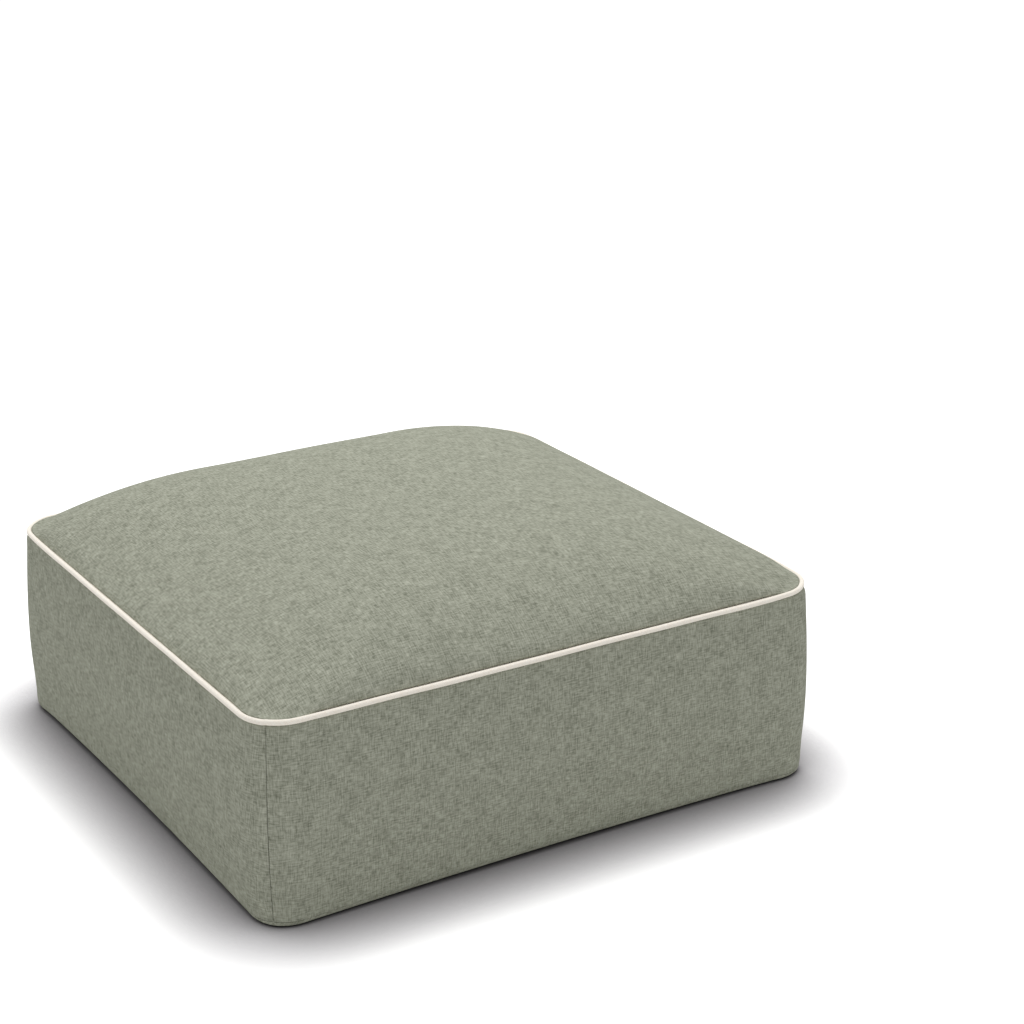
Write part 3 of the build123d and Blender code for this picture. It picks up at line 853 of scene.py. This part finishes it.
# One side panel of the cover, cut where the zip's slot is
def side_panel(side):
    reach = side_reach(side)
    low, high = base_seam_height + base_seam_inset, seam_height - tail_half - turn_radius
    ends = reach - turn_radius
    heights, along = spaced(low, high), spaced(-ends, ends)
    has_slot = side == "back"
    if has_slot:
        heights = np.concatenate([spaced(low, zip_height - slot_half_height),
                                  spaced(zip_height + slot_half_height, high)])
        along = np.concatenate([spaced(-ends, -slot_half_length),
                                spaced(-slot_half_length, slot_half_length)[1:-1],
                                spaced(slot_half_length, ends)])
    points = wall_grid(side, along, heights)
    shares = (heights - base_seam_height) / (seam_height - base_seam_height)
    from_corner, from_seam = reach - np.abs(along), seam_height - heights
    out = swelling(side, (along / reach + 1) / 2, shares) + unevenness(points, wall_unevenness)
    out = out * np.outer(1 - close_to(from_corner, corner_calm), 1 - close_to(from_seam, shoulder_calm))
    out = out - dip(from_corner)[:, None] - dip(from_seam, shoulder_dip, shoulder_dip_width)
    out = out - dip(heights - base_seam_height)
    hole = None
    if has_slot:
        past = np.maximum(np.abs(along) - slot_half_length, 0)
        over = np.maximum(np.abs(heights - zip_height) - slot_half_height, 0)
        out = out * (1 - close_to(np.hypot(past[:, None], over), zip_calm))
        across = np.abs(along) < slot_half_length + finest_step / 2
        within = np.abs(heights - zip_height) < slot_half_height + finest_step / 2
        hole = np.outer(across[:-1] & across[1:], within[:-1] & within[1:])
    points = pushed(points, out)
    draft = Draft()
    numbers = draft.grid(points, cut_places(points), hole)
    normals = grid_normals(points)
    normals[:, -1] = unit(normals[:, -1] * (1, 1, 0))
    loop = rim_of(numbers)
    draft.turn_under(loop, rim_normals(normals, numbers, loop), pi / 2)
    if has_slot:
        columns, rows = np.nonzero(across)[0], np.nonzero(within)[0]
        loop = rim_of(numbers[columns[0]:columns[-1] + 1, rows[0]:rows[-1] + 1])[::-1]
        draft.turn_under(loop, rim_normals(normals, numbers, loop), pi / 2, slot_hem, slot_hem)
    return make(draft, f"{side}_panel", "cover_fabric", f"cover_{side}_panel", cloth_thickness), points


# The crowned top panel
def top_panel():
    shares = plan_shares()
    points = crown_grid(shares, lambda side, along: corner_radius - top_rim_inset)
    x, y = points[..., 0], points[..., 1]
    inside = -outside_by(x, y, half_width, half_depth, corner_radius)
    out = swelling("top", *((share + 1) / 2 for share in shares)) + unevenness(points, top_unevenness)
    out = out * (1 - close_to(inside, crown_calm)) - dip(inside)
    over_x, over_y = np.abs(x) - straight_x, np.abs(y) - straight_y
    by_corner = np.minimum(over_x, over_y) > -corner_radius / 2
    by_corner = by_corner & (np.hypot(over_x, over_y) > corner_radius / 3)
    pinch = close_to((over_x - over_y) / 2 ** 0.5, corner_pinch_width) * close_to(inside, corner_pinch_length)
    points = drawn_in(pushed(points, out - corner_pinch * pinch * by_corner))
    lift = points[..., 2] - seam_height - rim_lift
    points[..., 2] = seam_height + rim_lift + (lift + np.hypot(lift, rim_softness)) / 2
    draft = Draft()
    numbers = draft.grid(points, cut_places(points))
    loop = rim_of(numbers)
    normals = rim_normals(grid_normals(points), numbers, loop)
    steepness = np.arctan2(np.hypot(normals[:, 0], normals[:, 1]), normals[:, 2])
    draft.turn_under(loop, normals, pi - steepness)
    return make(draft, "top_panel", "cover_fabric", "cover_top_panel", cloth_thickness), points


# A grid with a round hole at the valve, closed up to it by rings: its rim and the hole's edge
def grid_round_valve(draft, points, radius, level):
    middle_column, middle_row = points.shape[0] // 2, points.shape[1] // 2
    columns = np.nonzero(np.abs(points[:, middle_row, 0]) < opening_block)[0]
    rows = np.nonzero(np.abs(points[middle_column, :, 1] - valve_y) < opening_block)[0]
    hole = np.zeros((points.shape[0] - 1, points.shape[1] - 1), bool)
    hole[columns[0]:columns[-1], rows[0]:rows[-1]] = True
    numbers = draft.grid(points, points, hole)
    loop = rim_of(numbers[columns[0]:columns[-1] + 1, rows[0]:rows[-1] + 1])[::-1]
    centre = np.array([0, valve_y, 0])
    edge = (draft.at(loop) - centre) * (1, 1, 0)
    reach = np.linalg.norm(edge, axis=1)
    rings = []
    for place in spaced(0, 1, 0.07, 0.02)[1:]:
        distance = reach + (radius - reach) * place
        ring = centre + edge / reach[:, None] * distance[:, None]
        ring[:, 2] = level(distance)
        rings.append(ring)
    return numbers, draft.widen(loop, rings)


# The base panel, with a hemmed opening round the valve
def base_panel():
    shares = plan_shares()
    points = base_grid(*shares, base_seam_inset)[::-1]
    from_side = (1 - np.abs(shares[0][::-1])) * side_reach("front")
    from_end = (1 - np.abs(shares[1])) * side_reach("right")
    points = pushed(points, -dip(np.minimum(from_side[:, None], from_end)))
    draft = Draft()
    numbers, opening = grid_round_valve(
        draft, points, opening_radius + hem_radius,
        lambda distance: dip(distance - hem_stitch_radius, hem_stitch_depth, hem_stitch_width))
    loop = rim_of(numbers)
    draft.turn_under(loop, rim_normals(grid_normals(points), numbers, loop), pi / 2)
    draft.turn_under(opening, np.tile([0, 0, -1.0], (len(opening), 1)), pi / 2, hem_radius, hem_allowance)
    return make(draft, "base_panel", "cover_fabric", "cover_base_panel", cloth_thickness), points


# A closed course round the four sides: places on their core line and outward directions
def round_course(step):
    parts = []
    for side in sides:
        reach = side_reach(side)
        parts.append(core_line(side, np.linspace(-reach, reach, round(2 * reach / step) + 1)[:-1]))
    return [np.concatenate(part) for part in zip(*parts)]


# A closed course along the top seam, some way out from it: places, outward directions and lengths
def seam_course(step, beyond=0.0):
    core, outward = round_course(step)
    reach = corner_radius + beyond - wall_drawn(core, outward, seam_height)
    course = stood_out(core, outward, reach, seam_height)[:, 0]
    return course, outward, lengths_along(course)


# Casing of the piping: a folded strip that wraps the cord, with its tail in the seam
def piping_sleeve():
    course, outward, lengths = seam_course(3 * mm)
    arc = np.linspace(radians(165), radians(-165), 29)
    tail_out = np.array([-7.5, -6.0, -4.2, -2.6, -1.5]) * mm
    tail_up = np.full_like(tail_out, 0.55 * mm)
    out = np.concatenate([tail_out, piping_stand_off + piping_radius * np.cos(arc), tail_out[::-1]])
    rise = np.concatenate([tail_up, piping_radius * np.sin(arc), -tail_up])
    girth = lengths_along(spots(out, rise, 0))
    wander = 0.25 * mm * np.sin(lengths / (61 * mm)) + 0.18 * mm * np.sin(lengths / (23 * mm) + 1)
    on_cord = out > -1 * mm
    fullness = np.where(on_cord, 1 + 0.02 * np.sin(lengths / (17 * mm))[:, None], 1)
    reach = piping_stand_off + (out - piping_stand_off) * fullness
    heights = seam_height + rise * fullness + wander[:, None] * on_cord
    draft = Draft()
    draft.grid(stood_out(course, outward, reach, heights), spots(lengths[:, None], girth, 0), around=True)
    return make(draft, "piping_sleeve", "piping_fabric", "piping_casing", piping_cloth), girth[-1]


# Cord in the piping: three strands twisted together
def piping_core():
    course, outward, lengths = seam_course(1.5 * mm, piping_stand_off)
    total = lengths[-1] + lengths[1]
    turns = round(total / strand_pitch)
    draft = Draft()
    for strand in range(3):
        phase = 2 * pi * (turns * lengths / total + strand / 3)
        spoke = np.cos(phase)[:, None] * outward
        spoke[:, 2] = np.sin(phase)
        draft.bar(course + spoke * strand_offset, spoke, strand_radius, sides=8, closed=True)
    return make(draft, "piping_core", "piping_cord", "piping_cord")


# Adds stitches along a course with one normal, each sunk into the cloth at both ends
def sew(draft, course, normal, closed=False, pitch=3.4 * mm, length=2.8 * mm, thread=0.3 * mm):
    if closed:
        course = np.concatenate([course, course[:1]])
    lengths = lengths_along(course)
    count = max(1, round(lengths[-1] / pitch))
    lift = thread * np.array([-0.8, 0.35, 0.55, 0.35, -0.8])
    for k in range(count):
        places = (k + 0.5) * lengths[-1] / count + length * np.array([-0.5, -0.4, 0, 0.4, 0.5])
        at = np.stack([np.interp(places, lengths, course[:, axis]) for axis in range(3)], axis=-1)
        draft.bar(at + normal * lift[:, None], normal, thread * np.array([0.5, 1, 1, 1, 0.5]))


# A circle of points round the valve at a height
def valve_circle(radius, height, count):
    angles = 2 * pi * np.arange(count) / count
    return spots(radius * np.cos(angles), valve_y + radius * np.sin(angles), height)


# Sewing round the zip's slot, with a bar tack past each end
def zip_stitching():
    half_x, half_y = slot_half_length + zip_stitch_inset, slot_half_height + zip_stitch_inset
    outward = on_zip(0, 0, 1.0) - on_zip(0, 0, 0.0)
    draft = Draft()
    corners = [(-half_x, -half_y), (half_x, -half_y), (half_x, half_y), (-half_x, half_y)]
    for k in range(4):
        line = np.linspace(corners[k], corners[(k + 1) % 4], 200)
        sew(draft, on_zip(*line.T, stitch_face), outward, thread=0.36 * mm)
    for end in (-1, 1):
        x = np.linspace(end * (half_x + 1.6 * mm), end * (half_x + 3.8 * mm), 5)
        for y in np.arange(-bar_tack_half, bar_tack_half + 0.01 * mm, bar_tack_pitch):
            sew(draft, on_zip(x, y, stitch_face), outward, length=2.4 * mm, thread=0.26 * mm)
    return make(draft, "zip_stitching", "cover_fabric", material="cover_thread")


# Sewing round the opening in the base
def opening_stitching():
    draft = Draft()
    sew(draft, valve_circle(hem_stitch_radius, hem_stitch_depth, 180), np.array([0, 0, -1.0]), closed=True)
    return make(draft, "opening_stitching", "cover_fabric", material="cover_thread")


# One of the zip's tapes, rippled a little where its coil is sewn on
def zip_tape(row, side):
    x = np.linspace(-tape_half_length, tape_half_length, 335)
    y = np.sort(side * np.linspace(chain_half_gap, chain_half_gap + tape_width, 17))
    x, y = np.meshgrid(x, y, indexing="ij")
    ripple = tape_ripple * np.sin(x / (8 * mm) + side) ** 2 * close_to(np.abs(y) - chain_half_gap, 6 * mm)
    draft = Draft()
    draft.grid(on_zip(x, y, tape_face - ripple), spots(x, y, 0))
    return make(draft, f"zip_tape_cloth_{row}", "zip_tape", f"zip_tape_{row}", tape_thickness)


# One of the zip's coils: a monofilament wound round a cord
def zip_coil(row, side):
    per_turn = 10
    phase = np.arange(round(2 * coil_half_length / coil_pitch) * per_turn) / per_turn
    angle = 2 * pi * (phase + (0.25 if side < 0 else 0.75))
    round_y, round_z = (np.sign(w) * np.abs(w) ** 0.8 for w in (np.cos(angle), np.sin(angle)))
    half_y = (coil_reach - chain_half_gap) / 2 + 0.08 * mm - filament
    half_z = coil_height / 2 - filament
    middle_y, middle_z = (coil_reach + chain_half_gap) / 2 - 0.1 * mm, tape_face + coil_height / 2
    x = coil_pitch * phase - coil_half_length + filament
    course = on_zip(x, side * (middle_y + half_y * round_y), middle_z + half_z * round_z)
    spokes = on_zip(0 * x, side * np.cos(angle), np.sin(angle)) - zip_origin
    draft = Draft()
    draft.bar(course, unit(spokes), filament)
    line = np.linspace(-coil_half_length, coil_half_length, 120)
    draft.bar(on_zip(line, side * middle_y, middle_z), (0, 0, 1.0), coil_core)
    return make(draft, f"zip_coil_filament_{row}", "zip_coil", f"zip_coil_{row}")


# How much the wadding's surface rises and falls
def tufts(points):
    broad = unevenness(points * 3, wadding_tufts, seed=5)
    return np.abs(broad + unevenness(points * 8, wadding_tufts / 2, seed=6))


# Wadding under the top panel, cut back where the crown is low at its corners
def top_wadding():
    def reach_at(side, along):
        return corner_radius - wadding_rim_inset - wadding_corner_cut * at_corner(side, along)
    form = crown_grid(plan_shares(7 * mm, 2 * mm), reach_at)
    outer, inner = (sunk(form, depth, seam_height + seam_room) for depth in (wadding_outer, wadding_inner))
    outer[..., 2] = np.minimum(outer[..., 2], crown_height(outer[..., 0], outer[..., 1]) - wadding_cover)
    inner[..., 2] = np.minimum(inner[..., 2], outer[..., 2])
    outer = pushed(outer, -tufts(outer))
    draft = Draft()
    numbers = draft.grid(drawn_in(outer))
    lining = draft.grid(drawn_in(inner)[::-1])[::-1]
    draft.bridge(rim_of(numbers), rim_of(lining))
    return make(draft, "top_wadding", "wadding", "top_padding")


# Wadding round the walls, thinner where the zip needs room
def side_wadding():
    core, outward = round_course(5 * mm)
    heights = np.concatenate([np.arange(19, 26, 1.5), np.arange(27, 70, 2), np.arange(72, 258, 6),
                              [258, 260, 261.2]]) * mm
    reach = wall_reach(heights, base_edge_radius) - wall_drawn(core, outward, heights)

    def wall(depth):
        return stood_out(core, outward, reach - depth, heights)
    plain = wall(wadding_outer)
    past = np.maximum(np.abs(plain[..., 0]) - tape_half_length, 0)
    over = np.maximum(np.abs(heights - zip_height) - tape_width - chain_half_gap, 0)
    near = np.clip(1 - np.hypot(past, over) / (5 * mm), 0, 1) * (plain[..., 1] > 0)
    cut = (zip_room - wadding_outer) * near * near * (3 - 2 * near)
    draft = Draft()
    numbers = draft.grid(wall(wadding_outer + cut + tufts(plain) * (1 - near)), around=True)
    lining = draft.grid(wall(wadding_inner)[::-1], around=True)[::-1]
    draft.bridge(numbers[:, 0][::-1], lining[:, 0][::-1])
    draft.bridge(numbers[:, -1], lining[:, -1])
    return make(draft, "side_wadding", "wadding", "side_padding")


# How far a baffle pulls the bladder's film in, at places
def groove(x, y):
    past = np.maximum(np.abs(y) - baffle_half_length, 0)
    pull = sum(close_to(x - place, groove_width) for place in baffle_places)
    return groove_depth * pull * close_to(past, groove_fade)


# The height of the surface that the baffles are welded to, near the crown's middle
def under_crown(x, y):
    step = 2 * mm
    slope_x = (crown_height(x + step, y) - crown_height(x - step, y)) / (2 * step)
    slope_y = (crown_height(x, y + step) - crown_height(x, y - step)) / (2 * step)
    depth = bladder_inset + 2 * film_thickness
    return crown_height(x, y) - depth * np.sqrt(1 + slope_x ** 2 + slope_y ** 2)


# Top of the bladder, with its welded edge turned out
def bladder_top():
    def reach_at(side, along):
        return corner_radius - (bladder_inset + 2 * mm) * at_corner(side, along)
    form = crown_grid(plan_shares(6 * mm, 1 * mm), reach_at)
    points = drawn_in(sunk(form, bladder_inset, seam_height + bladder_rim_lift))
    points[..., 2] -= groove(points[..., 0], points[..., 1])
    draft = Draft()
    numbers = draft.grid(points)
    loop = rim_of(numbers)
    draft.weld(loop, unit(rim_normals(grid_normals(form), numbers, loop) * (1, 1, 0)))
    return make(draft, "bladder_top_film", "bladder_film", "bladder_top_sheet", film_thickness), points


# Wall of the bladder, with welded edges turned out at its top and bottom
def bladder_side():
    core, outward = round_course(5 * mm)
    low, high = weld_height + bladder_rim_gap, seam_height - bladder_rim_gap
    heights = np.concatenate([[low] * 4, spaced(low, high, 8 * mm, 1.5 * mm)[1:-1], [high] * 4])
    turned = np.array(weld_shares) * weld_width
    depth = np.full(len(heights), bladder_inset)
    depth[:4] -= turned[::-1]
    depth[-4:] -= turned
    reach = wall_reach(heights, base_edge_radius) - depth - wall_drawn(core, outward, heights)
    draft = Draft()
    draft.grid(stood_out(core, outward, reach, heights), around=True)
    return make(draft, "bladder_side_film", "bladder_film", "bladder_side_wall", film_thickness)


# Bottom of the bladder, with a hole at the valve and its welded edge turned out
def bladder_bottom():
    rim = wall_reach(weld_height, base_edge_radius) - bladder_inset
    points = plan_grid(*plan_shares(6 * mm, 0.5 * mm), lambda side, along: rim)
    inside = -outside_by(points[..., 0], points[..., 1], straight_x + rim, straight_y + rim, rim)
    radius = weld_height - bladder_floor
    points[..., 2] = weld_height - np.sqrt(radius ** 2 - np.clip(radius - inside, 0, radius) ** 2)
    points = points[::-1]
    draft = Draft()
    numbers, _ = grid_round_valve(draft, points, valve_hole_radius, lambda distance: bladder_floor)
    loop = rim_of(numbers)
    edge = draft.at(loop)
    draft.weld(loop, unit(np.cross(np.roll(edge, -1, axis=0) - np.roll(edge, 1, axis=0), (0, 0, -1))))
    return make(draft, "bladder_bottom_film", "bladder_film", "bladder_bottom_sheet", film_thickness), points


# One baffle: an upright web with a welded tab along its top and bottom
def baffle(number, place):
    y = np.linspace(-baffle_half_length, baffle_half_length, 113)
    top = under_crown(np.full_like(y, place), y) - groove(place, y)
    floor_level = bladder_floor + 2 * film_thickness
    shares = spaced(0, 1, 0.06, 0.01)
    rise = floor_level + (top - floor_level)[:, None] * shares
    billow = baffle_billow * np.sin(pi * shares) * np.sin(y / (70 * mm) + number)[:, None]
    web = spots(place + billow, y[:, None], rise)
    draft = Draft()
    draft.grid(web)
    tab_x, tab_y = np.meshgrid(place + np.linspace(-tab_half_width, tab_half_width, 9), y, indexing="ij")
    high = under_crown(tab_x, tab_y) - groove(tab_x, tab_y) * 1.15
    for level in (high, floor_level):
        draft.grid(spots(tab_x, tab_y, level))
    piece = make(draft, f"baffle_web_{number}", "bladder_film", f"bladder_baffle_{number}", film_thickness)
    return piece, web


# Raised mouldings on the underside of the valve's cap: a ring and ridges on its finger tab
def cap_mouldings():
    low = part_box("valve_cap")[0]
    level = low.z + cap_ridge_seat
    draft = Draft()
    draft.bar(valve_circle(cap_ring_radius, level, 72), (0, 0, -1.0), cap_ridge, sides=8, closed=True)
    x = np.linspace(-4 * mm, 4 * mm, 7)
    for k in range(3):
        y = low.y + (0.9 + 1.1 * k) * mm
        draft.bar(spots(x, y, level), (0, 0, -1.0), cap_ridge * 0.8, sides=8)
    return make(draft, "cap_mouldings", "valve_plastic", body="valve_cap")


wall_panels = {side: side_panel(side) for side in sides}
top_piece, top_points = top_panel()
base_piece, base_points = base_panel()
sleeve_piece, sleeve_girth = piping_sleeve()
core_piece = piping_core()
zip_rows = (("upper", 1), ("lower", -1))
tape_pieces = [zip_tape(row, side) for row, side in zip_rows]
for row, side in zip_rows:
    zip_coil(row, side)
zip_stitching()
opening_stitching()
wadding_pieces = [top_wadding(), side_wadding()]
bladder_top_piece, bladder_top_points = bladder_top()
bladder_side_piece = bladder_side()
bladder_bottom_piece, bladder_bottom_points = bladder_bottom()
baffle_pieces, baffle_webs = zip(*(baffle(number + 1, place) for number, place in enumerate(baffle_places)))
cap_mouldings()


# Lengths of a grid along its middle lines
def spread(points):
    lines = points[:, points.shape[1] // 2], points[points.shape[0] // 2]
    return [float(lengths_along(line)[-1]) for line in lines]


# Works out a stretched cloth's cut from the grid's lengths and an allowance at each edge, and keeps none of
# it
def cut_flat(piece, points, allowance, *rests_on):
    width, length = spread(points)
    width + 2 * allowance
    length + 2 * allowance


seam_margin = turn_radius * pi / 2 + turn_allowance
for piece, points in wall_panels.values():
    cut_flat(piece, points, seam_margin, wadding_pieces[1])
cut_flat(top_piece, top_points, seam_margin, wadding_pieces[0])
cut_flat(base_piece, base_points, seam_margin, bladder_bottom_piece)
cut_flat(bladder_top_piece, bladder_top_points, weld_width, *baffle_pieces)
cut_flat(bladder_bottom_piece, bladder_bottom_points, weld_width, base_piece)

# The kept nodes get their finish, with their sharp edges eased
for name, slot, easing in kept_finishes:
    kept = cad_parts[name]
    kept.data.materials.clear()
    kept.data.materials.append(materials[slot])
    if easing:
        rounded = kept.modifiers.new("eased_edges", "BEVEL")
        rounded.width = easing
        rounded.segments = 2
        rounded.limit_method = "ANGLE"
        rounded.angle_limit = radians(40)
        rounded.harden_normals = False

# Camera at the photograph's place, from sizes fitted to the piping's line
camera_unit = half_width + piping_stand_off
picture_size = 1024
focal_pixels = 2315.2
camera_tilt = 0.35862
camera_turn = -0.55423
camera_distance = 3.95006 * 2 * camera_unit
offset_right = -0.177885 * 2 * camera_unit
offset_up = -0.378328 * 2 * camera_unit
back = Vector((sin(camera_turn) * cos(camera_tilt), -cos(camera_turn) * cos(camera_tilt), sin(camera_tilt)))
right = Vector((cos(camera_turn), sin(camera_turn), 0))
up = back.cross(right)
camera = placed("camera", bpy.data.cameras.new("camera"))
bpy.context.scene.camera = camera
camera.data.sensor_width = 36
camera.data.lens = focal_pixels * camera.data.sensor_width / picture_size
camera.matrix_world = Matrix.Translation(back * camera_distance - right * offset_right - up * offset_up) @ \
    Matrix((right, up, back)).transposed().to_4x4()

# How the floor is seen: darker where something stands near, by a painted shadow over the lamp's real one, and
# white away from the shadow
shadow_reach = 0.12
shadow_power = 1.55
glow_power = 4.0
floor_glow = 0.42
floor_drop = -0.3 * mm
floor_radius = 12.0
white = (1, 1, 1, 1)
ambient_light = 0.66


# The emptied node tree of a material or world
def bare_tree(owner):
    owner.use_nodes = True
    owner.node_tree.nodes.clear()
    return owner.node_tree


# Floor with a painted shadow round the ottoman that goes white away from it, and isn't seen from below
def floor():
    made = bpy.data.materials.new("floor")
    tree = bare_tree(made)
    matt = node(tree, "BsdfDiffuse", {"Color": (0.85, 0.85, 0.85, 1)})
    # Painted shadow: how far things near block the floor darkens its colour and dims its glow
    near = node(tree, "AmbientOcclusion", {"Distance": shadow_reach}, output=1, samples=12)
    shade = near ** shadow_power
    # The painted shadow's colour, a faint purple grey
    painted_shadow_tint = blend_colours(tree, shade, screen(251, 245, 252), white)
    shown = node(tree, "BsdfDiffuse", {"Color": blend_colours(tree, shade, (0, 0, 0, 1), painted_shadow_tint)})
    glow = node(tree, "Emission", {"Color": painted_shadow_tint, "Strength": near ** glow_power * floor_glow})
    shown = node(tree, "AddShader", {0: shown, 1: glow})
    seen = node(tree, "LightPath", output="Is Camera Ray")
    lit = node(tree, "MixShader", {0: seen, 1: matt, 2: shown})
    behind = node(tree, "NewGeometry", output="Backfacing")
    clear = node(tree, "BsdfTransparent")
    out = tree.nodes.new("ShaderNodeOutputMaterial")
    feed(out.inputs[0], node(tree, "MixShader", {0: behind, 1: lit, 2: clear}))
    rings, spokes = 12, 48
    turns = [2 * pi * k / spokes for k in range(spokes)]
    points = [(0, 0, floor_drop)]
    faces = [(0, 1 + k, 1 + (k + 1) % spokes) for k in range(spokes)]
    for ring in range(1, rings + 1):
        distance = floor_radius * (ring / rings) ** 2
        points += [(distance * cos(turn), distance * sin(turn), floor_drop) for turn in turns]
        if ring > 1:
            inner, outer = 1 + (ring - 2) * spokes, 1 + (ring - 1) * spokes
            faces += [(inner + k, outer + k, outer + (k + 1) % spokes, inner + (k + 1) % spokes)
                      for k in range(spokes)]
    ground = mesh_object("floor", points, faces)
    ground.data.materials.append(made)


# An even white surrounding, dimmer as light than as background
def surroundings():
    world = bpy.data.worlds.new("surroundings")
    bpy.context.scene.world = world
    tree = bare_tree(world)
    seen = node(tree, "LightPath", output="Is Camera Ray")
    for ray in ("Is Glossy Ray", "Is Transmission Ray"):
        seen = seen.math("MAXIMUM", node(tree, "LightPath", output=ray))
    strength = node(tree, "MapRange", {"Value": seen, "To Min": ambient_light, "To Max": 1.0})
    out = tree.nodes.new("ShaderNodeOutputWorld")
    feed(out.inputs[0], node(tree, "Background", {"Color": white, "Strength": strength}))


# A soft round lamp that faces the ottoman
def soft_lamp(name, place, size, power):
    lamp = bpy.data.lights.new(name, "AREA")
    lamp.shape = "DISK"
    lamp.size = size
    lamp.energy = power
    made = placed(name, lamp)
    made.location = place
    made.rotation_euler = (Vector((0, 0, seam_height)) - Vector(place)).to_track_quat("-Z", "Y").to_euler()


floor()
surroundings()
soft_lamp("overhead", (0.4, 0.8, 2.9), 2.6, 46)
bpy.context.scene.view_settings.view_transform = "Standard"
